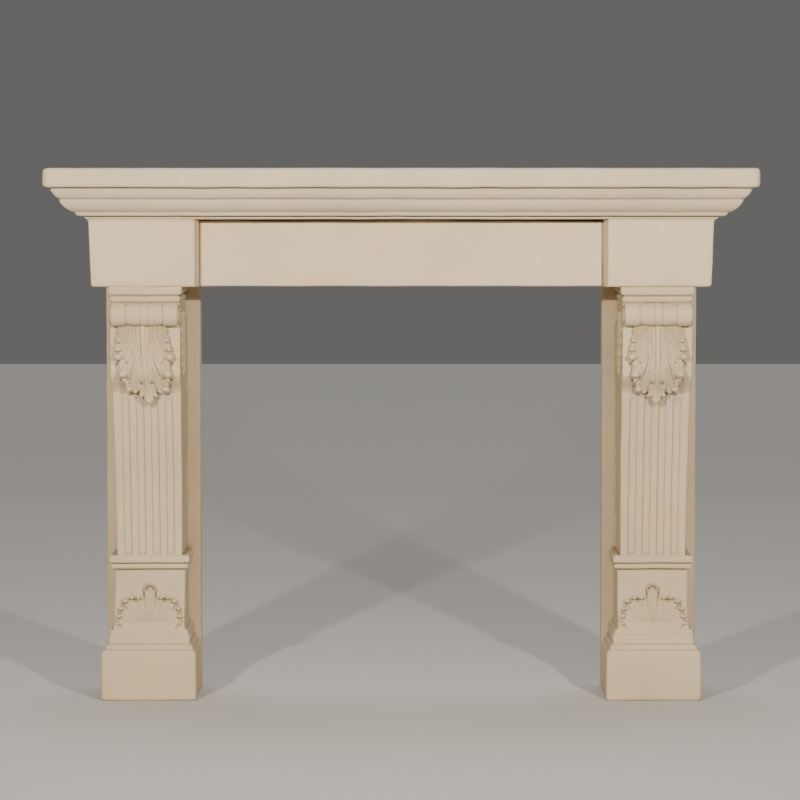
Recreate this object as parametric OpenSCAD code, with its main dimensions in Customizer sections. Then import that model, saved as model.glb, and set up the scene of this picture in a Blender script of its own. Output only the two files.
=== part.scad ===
// Fireplace mantelpiece in carved stone: a moulded shelf, a lintel, two frieze blocks and two
// console jambs with fluted shafts, a scroll, a hanging acanthus leaf and a shell at the foot.
// X runs along the opening, Y points at the wall, Z is up. The origin is on the floor, under
// the middle of the box around the whole piece.

/* [Overall] */
// Clear width between the jambs
opening_w = 996; // [600:1:1800]
// Height of the jambs, from the floor to the frieze blocks
jamb_h = 1008; // [800:1:1500]

/* [Shelf] */
// Thickness of the shelf slab
slab_t = 46; // [20:1:80]
// Height of the cornice under the slab
cornice_h = 76; // [40:1:140]
// How far the slab stands out past the frieze blocks
shelf_over = 100; // [70:1:160]
// Plan radius of the slab's front corners
slab_corner_r = 15; // [5:1:30]
// Radius of the slab's long edges
slab_edge_r = 6; // [2:1:10]

/* [Frieze] */
// Height of the frieze blocks
frieze_h = 162; // [100:1:260]
// Depth of the frieze blocks, from the wall
block_d = 318; // [240:1:420]
// How far a block stands out past its jamb's outer side
block_over = 19; // [5:1:40]
// How far a block leans in at its foot
block_batter = 6; // [0:1:12]
// How far the lintel's face is set back from the blocks' faces
lintel_in = 53; // [10:1:120]
// How far the lintel's ends reach short of the opening's width, each side
lintel_short = 12; // [2:1:30]
// How far a block's inner side draws outwards in front of the lintel
block_draft = 9; // [0:0.5:15]
// Open joint between the lintel and the cornice
lintel_gap = 4; // [0:0.5:10]

/* [Jamb] */
// Width of the plinth and of the backing slab
jamb_w = 232; // [200:1:320]
// Thickness of the backing slab
back_t = 58; // [30:1:90]
// Depth of the plinth, from the wall
plinth_d = 257; // [240:1:300]
// Height of the plinth
plinth_h = 112; // [60:1:180]
// Height of the ovolo over the plinth
base_ovolo_h = 25; // [15:1:40]
// Height of the plain band over the ovolo
base_band_h = 24; // [10:1:40]
// How far the band is set in from the plinth
base_in = 16.5; // [8:0.5:20]

/* [Die] */
// Height of the die that carries the shell
die_h = 155; // [130:1:240]
// Height of the step at the die's foot
foot_h = 10; // [5:1:20]
// Half width of that step
foot_half = 95; // [88:0.5:97]
// Half width of the die
die_half = 85.5; // [75:0.5:88]
// Depth of the die at its top, from the wall
die_d = 190; // [170:1:200]
// How far the die's front sweeps out at its foot
die_flare = 46; // [20:1:50]

/* [Shaft] */
// Height of the moulded band between die and shaft
neck_h = 33; // [20:1:50]
// Half width of the shaft at its foot
shaft_half = 79.5; // [74:0.5:84]
// Depth of the shaft at its foot, from the wall
shaft_d = 203; // [190:1:215]
// Number of flutes
flute_n = 4; // [2:1:6]
// Width of a flute
flute_w = 20.6; // [12:0.1:22]
// Width of the fillet between flutes
fillet_w = 14.3; // [6:0.1:15]
// Depth of a flute
flute_deep = 5; // [2:0.5:8]

/* [Head] */
// Height of the console's head, from the curl under it to the jamb's top
head_h = 262; // [230:1:320]
// How far the head's face stands out past the frieze blocks
head_over = 2; // [0:0.5:6]
// Half width of the head
head_half = 84; // [80:0.5:90]
// Height over which the head's front sweeps back under its face
curl_h = 54; // [25:1:60]
// How far the head's face stands out past the top of the shaft
curl_in = 46; // [25:1:70]
// Radius of the scroll roll
roll_r = 29; // [22:0.5:32]
// Half length of the scroll roll
roll_half = 81; // [76:0.5:90]
// Height of the moulded cap over the roll
cap_h = 37; // [30:1:50]

/* [Carving] */
// Length of the hanging leaf
leaf_len = 191; // [150:1:210]
// Half width of the hanging leaf
leaf_half = 73; // [55:0.5:76]
// How far the leaf's belly stands out from the head
leaf_proud = 25; // [12:0.5:30]
// Sideways drift of the left leaf's tip
leaf_sway = 9; // [0:0.5:12]
// Height of the shell
shell_h = 107; // [80:1:120]
// Half width of the shell
shell_half = 84; // [60:0.5:85]
// How far the shell stands out from the die
shell_proud = 9; // [4:0.5:12]
// Length of the side leaf
side_len = 134; // [90:1:150]
// Half width of the side leaf
side_half = 56; // [40:1:70]
// How far the side leaf stands out from the head's side
side_proud = 9; // [4:0.5:12]

/* [Hidden] */

stone = [0.86, 0.81, 0.73];
arc_n = 8;            // straight pieces in a quarter round
sink = 9;             // how deep carving is let into its ground
scallop_n = 6;        // outline points in one lobe
block_flare = 3;      // how far the blocks flare under the cornice
side_set = 20;        // how far the side leaf stays behind the head's face

wall_y = (block_d + shelf_over) / 2;
jamb_x = (opening_w + jamb_w) / 2;
cornice_z = jamb_h + frieze_h;
block_out = opening_w / 2 + jamb_w + block_over;
block_in = opening_w / 2 - lintel_short;
lintel_d = block_d - lintel_in;
head_d = block_d + head_over;
shaft_rise = head_d - curl_in - shaft_d;
ovolo_z = plinth_h + base_ovolo_h;
die_z = ovolo_z + base_band_h;
foot_z = die_z + foot_h;
neck_z = die_z + die_h;
shaft_z = neck_z + neck_h;
head_z = jamb_h - head_h;
cap_z = jamb_h - cap_h;
roll_z = cap_z - roll_r + 1;
roll_d = head_d + 15;
leaf_top = roll_z - roll_r;
leaf_mid = leaf_top - 0.41 * leaf_len;

// Moulding curve from one point to another, both [reach, height]. With full at 1 it is a quarter
// ellipse, and with less it is flatter. It leaves its start upright if rising, and level if not.
function quarter(a, b, rising = true, full = 1) = [for (i = [0 : arc_n])
    let (t = 90 * i / arc_n, along = i / arc_n,
         x = rising ? 1 - cos(t) : sin(t), z = rising ? sin(t) : 1 - cos(t))
    [a[0] + (b[0] - a[0]) * (full * x + (1 - full) * along),
     a[1] + (b[1] - a[1]) * (full * z + (1 - full) * along)]];

// Solid whose level sections are rectangles against the wall: the half width and the depth at
// each height come from [half width, depth, height] stations, so its mouldings mitre.
module mitred(stations) {
    half_max = max([for (s = stations) s[0]]) + 1;
    intersection() {
        rotate([90, 0, 0]) linear_extrude(max([for (s = stations) s[1]]) + 1)
            polygon([for (s = stations) [s[0], s[2]],
                     for (i = [len(stations) - 1 : -1 : 0]) [-stations[i][0], stations[i][2]]]);
        translate([-half_max, 0, 0]) rotate([90, 0, 90]) linear_extrude(2 * half_max)
            polygon([[0, stations[0][2]], for (s = stations) [-s[1], s[2]],
                     [0, stations[len(stations) - 1][2]]]);
    }
}

// ---- shelf, lintel and frieze blocks ----

// The cornice and the slab's edge as [reach past the blocks, height over the cornice's foot].
function shelf_edge() = let (h = cornice_h / 76, w = shelf_over / 100, top = cornice_h + slab_t)
    [for (p = [[4, 0], [9, 5], [6, 5.5], [6, 8]]) [p[0] * w, p[1] * h],
     each quarter([22 * w, 8 * h], [29 * w, 15 * h], false, 0.4),
     each quarter([29 * w, 16.5 * h], [64 * w, 47 * h], false, 0.6),
     [60 * w, 47.5 * h], [60 * w, 50 * h],
     each quarter([66 * w, 50.5 * h], [82 * w, 72 * h], false, 0.35),
     [78 * w, 72.5 * h], [78 * w, cornice_h],
     each quarter([shelf_over - slab_edge_r, cornice_h + 0.01], [shelf_over, cornice_h + slab_edge_r],
                  false),
     each quarter([shelf_over, top - slab_edge_r], [shelf_over - slab_edge_r, top])];

module mantel_shelf() {
    reach = block_out + shelf_over;
    deep = block_d + shelf_over;
    color(stone) translate([0, wall_y, cornice_z]) intersection() {
        mitred([for (p = shelf_edge()) [block_out + p[0], block_d + p[0], p[1]]]);
        translate([0, 0, -1]) linear_extrude(cornice_h + slab_t + 2) union() {
            translate([-reach, -deep + slab_corner_r]) square([2 * reach, deep - slab_corner_r]);
            translate([-reach + slab_corner_r, -deep]) square([2 * (reach - slab_corner_r), deep]);
            for (side = [-1, 1]) translate([side * (reach - slab_corner_r), -deep + slab_corner_r])
                circle(slab_corner_r, $fn = 48);
        }
    }
}

module lintel() {
    color(stone) translate([-block_in, wall_y - lintel_d, jamb_h])
        cube([2 * block_in, lintel_d, frieze_h - lintel_gap]);
}

// A frieze block, right of the opening: its outer side leans in, its front and outer side flare
// a little under the cornice, and its inner side draws outwards in front of the lintel.
module frieze_block() {
    flare_z = frieze_h - 9;
    side = block_out + block_flare;
    face = -block_d - block_flare;
    color(stone) translate([0, wall_y, jamb_h]) intersection() {
        rotate([90, 0, 0]) linear_extrude(-face)
            polygon([[block_in, 0], [block_out - block_batter, 0], [block_out, flare_z],
                     each quarter([block_out, flare_z], [side, frieze_h], false),
                     [block_in, frieze_h]]);
        rotate([90, 0, 90]) linear_extrude(side)
            polygon([[0, 0], [-block_d + 1, 0], [-block_d, flare_z],
                     each quarter([-block_d, flare_z], [face, frieze_h], false), [0, frieze_h]]);
        linear_extrude(frieze_h)
            polygon([[block_in, 0], [block_in, -lintel_d], [block_in + block_draft, face],
                     [side, face], [side, 0]]);
    }
}

module frieze_block_left() { mirror([1, 0, 0]) frieze_block(); }
module frieze_block_right() { frieze_block(); }

// ---- console jambs ----

// Depth of the jamb's bare front at a height in the die, the shaft or the head.
function die_front(z) =
    let (u = max(0, 1 - (max(z, foot_z) - foot_z) / (0.65 * die_h))) die_d + die_flare * u * u;
function shaft_front(z) = shaft_d + shaft_rise * pow(max(0, (z - shaft_z) / (head_z - shaft_z)), 1.6);
function curl_front(z) = head_d - curl_in * (1 + cos(180 * min(1, (z - head_z) / curl_h))) / 2;
function head_front(z) = z < head_z ? shaft_front(z) : z < head_z + curl_h ? curl_front(z) : head_d;

// Moulding points [reach, height] carried out from a half width and a depth.
function carried(points, half, deep) = [for (p = points) [half + p[0], deep + p[0], p[1]]];

function jamb_stations() = let (half = jamb_w / 2, band = -base_in, k = neck_h / 33,
                                step_z = plinth_h + 0.44 * base_ovolo_h) [
    each carried([[-3, 0], [0, 4], each quarter([0, plinth_h], [0.35 * band, step_z], true, 0.6),
                  [0.46 * band, step_z + 0.5],
                  each quarter([0.48 * band, step_z + 1], [0.8 * band, ovolo_z], true, 0.3),
                  [band, ovolo_z + 0.5], [band, die_z - 1]], half, plinth_d),
    [foot_half + 1, die_front(foot_z) + 1, die_z], [foot_half - 1, die_front(foot_z), foot_z - 1],
    for (i = [0 : 12]) let (z = foot_z + i * 0.06 * die_h, f = max(0, 1 - i / 2))
        [die_half + 2 * f * f, die_front(z), z],
    [die_half, die_d, neck_z],
    each carried([each quarter([5, neck_z + 0.5], [9, neck_z + 6 * k], false),
                  each quarter([9, neck_z + 6.5 * k], [5, neck_z + 12 * k]),
                  [3, neck_z + 12.5 * k], [3, neck_z + 14 * k],
                  each quarter([8, neck_z + 14.5 * k], [11.5, neck_z + 19 * k], false),
                  each quarter([11.5, shaft_z - 6 * k], [7, shaft_z - 0.5])], die_half, die_d + 6),
    for (i = [0 : 16]) let (z = shaft_z + (head_z - 1 - shaft_z) * i / 16)
        [shaft_half + 3 * i / 16, shaft_front(z), z],
    for (i = [0 : arc_n]) let (z = head_z + curl_h * i / arc_n)
        [shaft_half + 3 + (head_half - shaft_half - 3) * i / arc_n, curl_front(z), z],
    [head_half, head_d, leaf_top - 2], [head_half - 4, head_d, leaf_top + 2],
    [head_half - 4, head_d - 2, cap_z - 0.5],
    each carried([each quarter([-4, cap_z + 1], [0, cap_z + 0.2 * cap_h], false),
                  each quarter([0, cap_z + 0.21 * cap_h], [-4, cap_z + 0.4 * cap_h]),
                  [-5, cap_z + 0.42 * cap_h], [-5, cap_z + 0.48 * cap_h],
                  each quarter([0, cap_z + 0.5 * cap_h], [3.5, cap_z + 0.8 * cap_h], false),
                  [4, jamb_h]], head_half, head_d)];

// Flute channels, cut in from the shaft's own front line.
module flutes() {
    pitch = flute_w + fillet_w;
    levels = [for (i = [0 : 16]) shaft_z + 1 + (head_z + 1 - shaft_z) * i / 16];
    for (i = [0 : flute_n - 1])
        translate([(i - (flute_n - 1) / 2) * pitch - flute_w / 2, 0, 0])
            rotate([90, 0, 90]) linear_extrude(flute_w)
                polygon([for (z = levels) [-shaft_front(min(z, head_z)) + flute_deep, z],
                         [-shaft_front(head_z) - 8, head_z + 2], [-shaft_d - 12, shaft_z + 1]]);
}

// The scroll roll: two wide outer rolls, then hollow reels, and a strap round its middle.
function roll_radius(x) = let (s = abs(x) / roll_half)
    s > 0.98 ? 0.9 * roll_r : s > 0.57 ? roll_r : s > 0.54 ? 0.84 * roll_r
    : s > 0.14 ? (0.96 - 0.1 * pow((s - 0.14) / 0.4, 2)) * roll_r
    : s > 0.11 ? 0.92 * roll_r : 0.98 * roll_r;
module roll() {
    cuts = [0, 0.108, 0.112, 0.138, 0.142, 0.3, 0.42, 0.538, 0.542, 0.568, 0.572, 0.978, 1];
    places = [for (i = [len(cuts) - 1 : -1 : 1]) -cuts[i], each cuts] * roll_half;
    translate([0, -roll_d, roll_z]) rotate([0, 90, 0]) rotate_extrude($fn = 64)
        polygon([[0, -roll_half], for (x = places) [roll_radius(x), x], [0, roll_half]]);
    translate([-roll_half - 4, -roll_d, roll_z]) rotate([0, 90, 0])
        cylinder(r = 0.45 * roll_r, h = 2 * roll_half + 8, $fn = 48);
}

// Outline of a lobed form from its lobe tips: between two tips the edge is drawn in to a notch.
function scalloped(tips, heart, notch) = [for (i = [0 : len(tips) - 2]) for (j = [0 : scallop_n - 1])
    let (f = j / scallop_n, p = tips[i] + (tips[i + 1] - tips[i]) * f)
    heart + (p - heart) * (1 - notch * (1 - abs(cos(180 * f))))];

// Carving as one closed mesh. Rings grow from the heart to the outline, front(p, r) gives how far
// its skin stands out at a place p on ring r, and ground(p) gives its back. The outline runs
// clockwise as seen from the front.
module relief(outline, heart, rings, front, ground) {
    n = len(outline);
    flat = [for (r = [1 : rings]) for (p = outline) heart + (p - heart) * r / rings];
    skin = [for (i = [0 : len(flat) - 1]) let (p = flat[i], r = (1 + floor(i / n)) / rings)
            [p[0], -front(p, r, i % n), p[1]]];
    back = [for (p = outline) [p[0], -ground(p), p[1]]];
    polyhedron(
        points = [[heart[0], -front(heart, 0, 0), heart[1]], each skin, each back,
                  [heart[0], -ground(heart), heart[1]]],
        faces = [
            for (j = [0 : n - 1]) [0, 1 + j, 1 + (j + 1) % n],
            for (r = [0 : rings - 1]) for (j = [0 : n - 1])
                let (a = 1 + r * n + j, b = 1 + r * n + (j + 1) % n) each [[a, a + n, b], [b, a + n, b + n]],
            for (j = [0 : n - 1])
                [1 + (rings + 1) * n, 1 + rings * n + (j + 1) % n, 1 + rings * n + j]]);
}

// One side's lobe tips of the hanging leaf, from its tip upwards, as shares of the half width
// and of the length above the tip.
leaf_tips = [[0.3, 0.09], [0.56, 0.14], [0.77, 0.17], [0.85, 0.27], [0.9, 0.36], [0.91, 0.47],
             [1, 0.59], [1, 0.7], [0.94, 0.82], [0.83, 1.07]];
function leaf_at(t, sway) = let (drift = sway * pow(1 - t[1], 2))
    [t[0] * leaf_half + drift, leaf_top - leaf_len + t[1] * leaf_len];
// The leaf's middle line swells to its belly and sweeps back with the curl.
function leaf_line(z) = let (low = max(0, (leaf_mid - z) / (leaf_mid - leaf_top + leaf_len)),
                             high = max(0, (z - leaf_mid) / (leaf_top - leaf_mid)))
    head_d + leaf_proud - 12 * high * high - (leaf_proud + 27) * (1 - cos(180 * pow(low, 1.6))) / 2;

module leaf(sway) {
    last = len(leaf_tips) - 1;
    tips = [for (i = [last : -1 : 0]) leaf_at(leaf_tips[i], sway), leaf_at([0, 0], sway),
            for (t = leaf_tips) leaf_at([-t[0], t[1]], sway), leaf_at(leaf_tips[last], sway)];
    heart = [0, leaf_mid];
    relief(scalloped(tips, heart, 0.13), heart, 5,
        function (p, r, j) let (u = p[0] / leaf_half)
            leaf_line(p[1]) - 13 * u * u + 3 * r * r - 3 * r * abs(sin(180 * j / scallop_n)),
        function (p) min(head_front(p[1]), head_front(p[1] + 4)) - sink);
}

// One side's lobe tips of the shell, from its crown down, as shares of its half width and height.
shell_tips = [[0.2, 0.9], [0.38, 0.74], [0.58, 0.74], [0.79, 0.67], [0.91, 0.48], [0.98, 0.3],
              [1, 0.14], [0.75, 0]];
module shell() {
    foot = foot_z + 1;
    place = function (t) [t[0] * shell_half, foot + t[1] * shell_h];
    last = len(shell_tips) - 1;
    tips = [for (i = [last : -1 : 0]) place([-shell_tips[i][0], shell_tips[i][1]]), place([0, 1]),
            for (t = shell_tips) place(t), place([-shell_tips[last][0], shell_tips[last][1]])];
    heart = place([0, 0.32]);
    relief(scalloped(tips, heart, 0.1), heart, 4,
        function (p, r, j) die_front(p[1]) + shell_proud * (0.55 + 0.6 * r * r)
            - 2.5 * r * abs(sin(180 * j / scallop_n)),
        function (p) die_front(p[1]) - sink);
}

// A leaf hanging on each side of the head, behind the end of the roll.
side_tips = [[0.5, 0.1], [0.82, 0.34], [1, 0.62], [0.8, 0.9]];
module side_leaf() {
    place = function (t) [side_half + side_set - head_d + t[0] * side_half,
                          leaf_top + 12 - side_len + t[1] * side_len];
    last = len(side_tips) - 1;
    tips = [for (i = [last : -1 : 0]) place(side_tips[i]), place([0, 0]),
            for (t = side_tips) place([-t[0], t[1]]), place(side_tips[last])];
    heart = place([0, 0.5]);
    rotate([0, 0, 90]) relief(scalloped(tips, heart, 0.16), heart, 3,
        function (p, r, j) head_half + side_proud * (1 - 0.5 * r * r),
        function (p) head_half - sink);
}

module jamb(sway) {
    color(stone) translate([0, wall_y, 0]) union() {
        difference() {
            mitred(jamb_stations());
            flutes();
        }
        translate([-jamb_w / 2, -back_t, 0]) cube([jamb_w, back_t, jamb_h]);
        roll();
        leaf(sway);
        shell();
        for (flip = [0, 1]) mirror([flip, 0, 0]) side_leaf();
    }
}

module jamb_left() { translate([-jamb_x, 0, 0]) jamb(leaf_sway); }
module jamb_right() { translate([jamb_x, 0, 0]) jamb(0); }

mantel_shelf();
lintel();
frieze_block_left();
frieze_block_right();
jamb_left();
jamb_right();
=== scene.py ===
"""Fireplace mantelpiece in pale carved stone: the looks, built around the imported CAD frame.

Shapes are worked out in millimetres as (x, reach, height): x runs along the opening, reach is the
distance out from the wall, and height is up from the floor. to_world() turns them into the row's
frame in metres.
"""
import math

import bmesh
import bpy
import numpy as np
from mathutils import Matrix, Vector, noise


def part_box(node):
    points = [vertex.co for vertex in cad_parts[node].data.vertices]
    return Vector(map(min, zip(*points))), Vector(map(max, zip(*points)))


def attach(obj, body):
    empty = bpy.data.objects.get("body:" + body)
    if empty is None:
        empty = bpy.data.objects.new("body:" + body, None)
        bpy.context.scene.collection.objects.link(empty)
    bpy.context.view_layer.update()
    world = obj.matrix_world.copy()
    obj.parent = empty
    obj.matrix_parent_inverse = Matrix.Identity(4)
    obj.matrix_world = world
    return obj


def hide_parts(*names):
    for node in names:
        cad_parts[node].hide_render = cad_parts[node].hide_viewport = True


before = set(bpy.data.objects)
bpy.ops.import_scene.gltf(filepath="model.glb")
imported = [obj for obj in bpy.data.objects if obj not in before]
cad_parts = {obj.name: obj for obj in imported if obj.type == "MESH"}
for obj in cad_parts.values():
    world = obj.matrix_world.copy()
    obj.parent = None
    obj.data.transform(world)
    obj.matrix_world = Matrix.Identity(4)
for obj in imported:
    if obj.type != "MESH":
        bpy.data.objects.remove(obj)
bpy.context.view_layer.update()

MM = 0.001
SIDES = (-1, 1)
FULL_TURN = 2 * math.pi

# ---- places and sizes from the frame, in mm ----

def node_box(node):
    low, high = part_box(node)
    return np.array(low) / MM, np.array(high) / MM


SHELF_LOW, SHELF_HIGH = node_box("mantel_shelf")
LINTEL_LOW, LINTEL_HIGH = node_box("lintel")
BLOCK_LOW, BLOCK_HIGH = node_box("frieze_block_right")
JAMB_LOW, JAMB_HIGH = node_box("jamb_right")

WALL_Y = SHELF_HIGH[1]
SHELF_REACH = SHELF_HIGH[0]
SHELF_DEEP = WALL_Y - SHELF_LOW[1]
CORNICE_Z = SHELF_LOW[2]
SHELF_TOP = SHELF_HIGH[2]
JAMB_TOP = JAMB_HIGH[2]
JAMB_HALF = (JAMB_HIGH[0] - JAMB_LOW[0]) / 2
JAMB_X = (JAMB_HIGH[0] + JAMB_LOW[0]) / 2
BLOCK_FLARE = 3          # a block's box ends at the small flare under the cornice
BLOCK_IN = BLOCK_LOW[0]
BLOCK_OUT = BLOCK_HIGH[0] - BLOCK_FLARE
BLOCK_DEEP = WALL_Y - BLOCK_LOW[1] - BLOCK_FLARE
LINTEL_DEEP = WALL_Y - LINTEL_LOW[1]

# ---- sizes of the carving and mouldings, as in the CAD ----

SHELF_OVER = SHELF_DEEP - BLOCK_DEEP
SLAB_T = 46
SLAB_CORNER = 15
BLOCK_BATTER, BLOCK_DRAFT = 6, 9
BACK_T = 58
PLINTH_D, PLINTH_H = 257, 112
BASE_IN, OVOLO_H, BAND_H = 16.5, 25, 24
DIE_H, DIE_HALF, DIE_D, DIE_FLARE = 155, 85.5, 190, 46
FOOT_H, FOOT_HALF = 10, 95
NECK_H = 33
SHAFT_HALF, SHAFT_D, CURL_IN = 79.5, 203, 46
FLUTES, FLUTE_W, FILLET_W, FLUTE_DEEP = 4, 20.6, 14.3, 5
HEAD_H, HEAD_OVER, HEAD_HALF, CURL_H, CAP_H = 262, 2, 84, 54, 37
ROLL_R, ROLL_HALF, ROLL_OUT = 29, 81, 15
LEAF_LEN, LEAF_HALF, LEAF_PROUD, LEAF_SWAY = 191, 73, 25, 9
SHELL_H, SHELL_HALF, SHELL_PROUD = 107, 84, 9
SIDE_LEN, SIDE_HALF, SIDE_PROUD, SIDE_SET = 134, 56, 9, 20
CARVING_VOXEL, SIDE_VOXEL = 0.9, 1.1
LEAF_TRIANGLES, SHELL_TRIANGLES, SIDE_TRIANGLES = 72000, 38000, 14000

OVOLO_Z = PLINTH_H + OVOLO_H
DIE_Z = OVOLO_Z + BAND_H
FOOT_Z = DIE_Z + FOOT_H
NECK_Z = DIE_Z + DIE_H
SHAFT_Z = NECK_Z + NECK_H
HEAD_Z = JAMB_TOP - HEAD_H
HEAD_D = BLOCK_DEEP + HEAD_OVER
SHAFT_RISE = HEAD_D - CURL_IN - SHAFT_D
CAP_Z = JAMB_TOP - CAP_H
ROLL_Z = CAP_Z - ROLL_R + 1
ROLL_D = HEAD_D + ROLL_OUT
LEAF_TOP = ROLL_Z - ROLL_R
LEAF_TIP = LEAF_TOP - LEAF_LEN
LEAF_MID = LEAF_TOP - 0.41 * LEAF_LEN
SHELL_FOOT = FOOT_Z + 1

# ---- general mesh tools ----

def to_world(points):
    points = np.asarray(points, float).reshape(-1, 3)
    return np.column_stack((points[:, 0], WALL_Y - points[:, 1], points[:, 2])) * MM


def get_points(obj):
    """The x, reach and height of every point of a mesh, in mm."""
    co = np.empty(len(obj.data.vertices) * 3)
    obj.data.vertices.foreach_get("co", co)
    co = co.reshape(-1, 3)
    return co[:, 0] / MM, WALL_Y - co[:, 1] / MM, co[:, 2] / MM


def set_points(obj, x, reach, height):
    obj.data.vertices.foreach_set("co", to_world(np.column_stack((x, reach, height))).ravel())


def make_object(name, points, faces):
    mesh = bpy.data.meshes.new(name)
    mesh.from_pydata(to_world(points).tolist(), [], faces)
    obj = bpy.data.objects.new(name, mesh)
    bpy.context.scene.collection.objects.link(obj)
    tidy_mesh(obj)
    return obj


def tidy_mesh(obj, weld=0.02):
    """Welds doubles, drops empty faces and turns every face outwards."""
    bm = bmesh.new()
    bm.from_mesh(obj.data)
    bmesh.ops.remove_doubles(bm, verts=bm.verts, dist=weld * MM)
    bmesh.ops.dissolve_degenerate(bm, dist=weld * MM, edges=bm.edges)
    bmesh.ops.recalc_face_normals(bm, faces=bm.faces)
    bm.to_mesh(obj.data)
    bm.free()


def use_modifier(obj, kind, **settings):
    modifier = obj.modifiers.new(kind, kind)
    for key, value in settings.items():
        setattr(modifier, key, value)
    bpy.context.view_layer.objects.active = obj
    bpy.ops.object.modifier_apply(modifier=modifier.name)


def join(objects, name):
    """One object that holds all the meshes, still overlapping."""
    bpy.ops.object.select_all(action="DESELECT")
    for obj in objects:
        obj.select_set(True)
    bpy.context.view_layer.objects.active = objects[0]
    bpy.ops.object.join()
    objects[0].name = name
    return objects[0]


def unite(base, extras):
    """Boolean union of closed meshes into base."""
    for extra in extras:
        use_modifier(base, "BOOLEAN", operation="UNION", solver="MANIFOLD", object=extra)
        bpy.data.objects.remove(extra)


def fuse(objects, name, voxel):
    """Overlapping closed meshes run together into one soft skin, as worn carving does."""
    obj = join(objects, name)
    use_modifier(obj, "REMESH", mode="VOXEL", voxel_size=voxel * MM)
    use_modifier(obj, "SMOOTH", factor=0.5, iterations=1)
    return obj


def thinned(obj, limit):
    """The object with no more than about so many triangles."""
    triangles = sum(len(p.vertices) - 2 for p in obj.data.polygons)
    if triangles > limit:
        use_modifier(obj, "DECIMATE", ratio=limit / triangles)
    return obj


def shade(obj, angle=38):
    """Smooth shading with the edges over the angle kept crisp."""
    bm = bmesh.new()
    bm.from_mesh(obj.data)
    limit = math.radians(angle)
    for face in bm.faces:
        face.smooth = True
    for edge in bm.edges:
        edge.smooth = len(edge.link_faces) == 2 and edge.calc_face_angle(0) < limit
    bm.to_mesh(obj.data)
    bm.free()


def smoothstep(x, low, high):
    t = np.clip((x - low) / (high - low), 0, 1)
    return t * t * (3 - 2 * t)


def quarter(a, b, rising=True, full=1.0, steps=10):
    """Moulding curve between two (reach, height) points: a quarter ellipse with full at 1, flatter
    with less. It leaves its start upright if rising, and level if not."""
    out = []
    for i in range(steps + 1):
        t = math.radians(90 * i / steps)
        along = i / steps
        x, z = (1 - math.cos(t), math.sin(t)) if rising else (math.sin(t), 1 - math.cos(t))
        out.append((a[0] + (b[0] - a[0]) * (full * x + (1 - full) * along),
                    a[1] + (b[1] - a[1]) * (full * z + (1 - full) * along)))
    return out


def even_columns(count):
    return lambda low, high: np.linspace(low, high, count)


def tube_faces(rings, around):
    """Faces between the rings of a closed tube, and a cap at each end."""
    faces = []
    for ring in range(rings - 1):
        for k in range(around):
            a, b = ring * around + k, ring * around + (k + 1) % around
            faces.append((a, b, b + around, a + around))
    last = (rings - 1) * around
    return faces + [tuple(range(around - 1, -1, -1)), tuple(range(last, last + around))]


def upright(low, high, step):
    """Levels from low to high, about a step apart."""
    count = max(2, int(round((high - low) / step)) + 1)
    return np.linspace(low, high, count)


BROAD_WEAR_SIZE = 75
FINE_WEAR_SIZE, FINE_WEAR = 0.22, 0.35      # in shares of the broad wear's size and amount


def wear(points, amount, scale, seed):
    """Small unevenness of a hand-finished face: all points but those at the wall move a little.
    seed only sets pieces apart. Blender starts this noise from the clock, and nothing here fixes
    that, so from run to run a point lies about 0.6 mm elsewhere, and up to 1.7 mm."""
    out = np.array(points, float)
    offset = Vector((seed * 7.1, seed * 3.3, seed * 5.7))
    for i, p in enumerate(out):
        if p[1] < 1:
            continue
        broad = noise.noise_vector(Vector(p) / scale + offset)
        fine = noise.noise_vector(Vector(p) / (scale * FINE_WEAR_SIZE) + offset)
        out[i] += amount * (np.array(broad) + FINE_WEAR * np.array(fine))
    return out


def loft(name, stations, front_columns, side_count, change=None, amount=0.5, seed=1):
    """Closed solid against the wall. Each station is (left, right, depth, height, corner radius);
    front_columns(left, right) gives the x of the front's columns, and change(points) may move
    points before the wear."""
    arc = [math.radians(a) for a in (22.5, 45, 67.5)]
    rings = []
    for left, right, depth, height, corner in stations:
        ring = [(left, d, height) for d in np.linspace(0, depth - corner, side_count)]
        ring += [(left + corner * (1 - math.cos(a)), depth - corner * (1 - math.sin(a)), height)
                 for a in arc]
        ring += [(x, depth, height) for x in front_columns(left + corner, right - corner)]
        ring += [(right - corner * (1 - math.cos(a)), depth - corner * (1 - math.sin(a)), height)
                 for a in reversed(arc)]
        ring += [(right, d, height) for d in np.linspace(depth - corner, 0, side_count)]
        rings.append(ring)
    points = np.array(rings, float).reshape(-1, 3)
    if change:
        points = change(points)
    points = wear(points, amount, BROAD_WEAR_SIZE, seed)
    return make_object(name, points, tube_faces(len(rings), len(rings[0])))


# ---- shelf ----

CORNICE_H = SHELF_TOP - SLAB_T - CORNICE_Z
CORNICE_CORNER = 3.5


def shelf_edge():
    """(reach past the blocks, height over the cornice's foot) up the cornice and the slab."""
    top = CORNICE_H + SLAB_T
    edge = [(4, 0), (7, 1.2), (9, 3.4), (8.6, 4.8), (6, 5.6), (6, 8)]
    edge += quarter((22, 8), (28.6, 14.4), False, 0.4)
    edge += [(29, 15.4), (28.8, 16.2)]
    edge += quarter((29.4, 16.8), (63, 46), False, 0.6, 12)
    edge += [(63.6, 46.8), (63, 47.6), (60, 47.9), (60, 50)]
    edge += quarter((65, 50.4), (81.4, 71), False, 0.35, 12)
    edge += [(82, 71.8), (81.4, 72.6), (78, 72.9), (78, CORNICE_H)]
    edge += quarter((SHELF_OVER - 9, CORNICE_H + 0.2), (SHELF_OVER - 0.6, CORNICE_H + 8), False,
                    1, 7)
    edge += [(SHELF_OVER, z) for z in upright(CORNICE_H + 11, top - 12, 6)]
    edge += quarter((SHELF_OVER - 0.4, top - 9), (SHELF_OVER - 9, top), True, 1, 7)
    return edge


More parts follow.
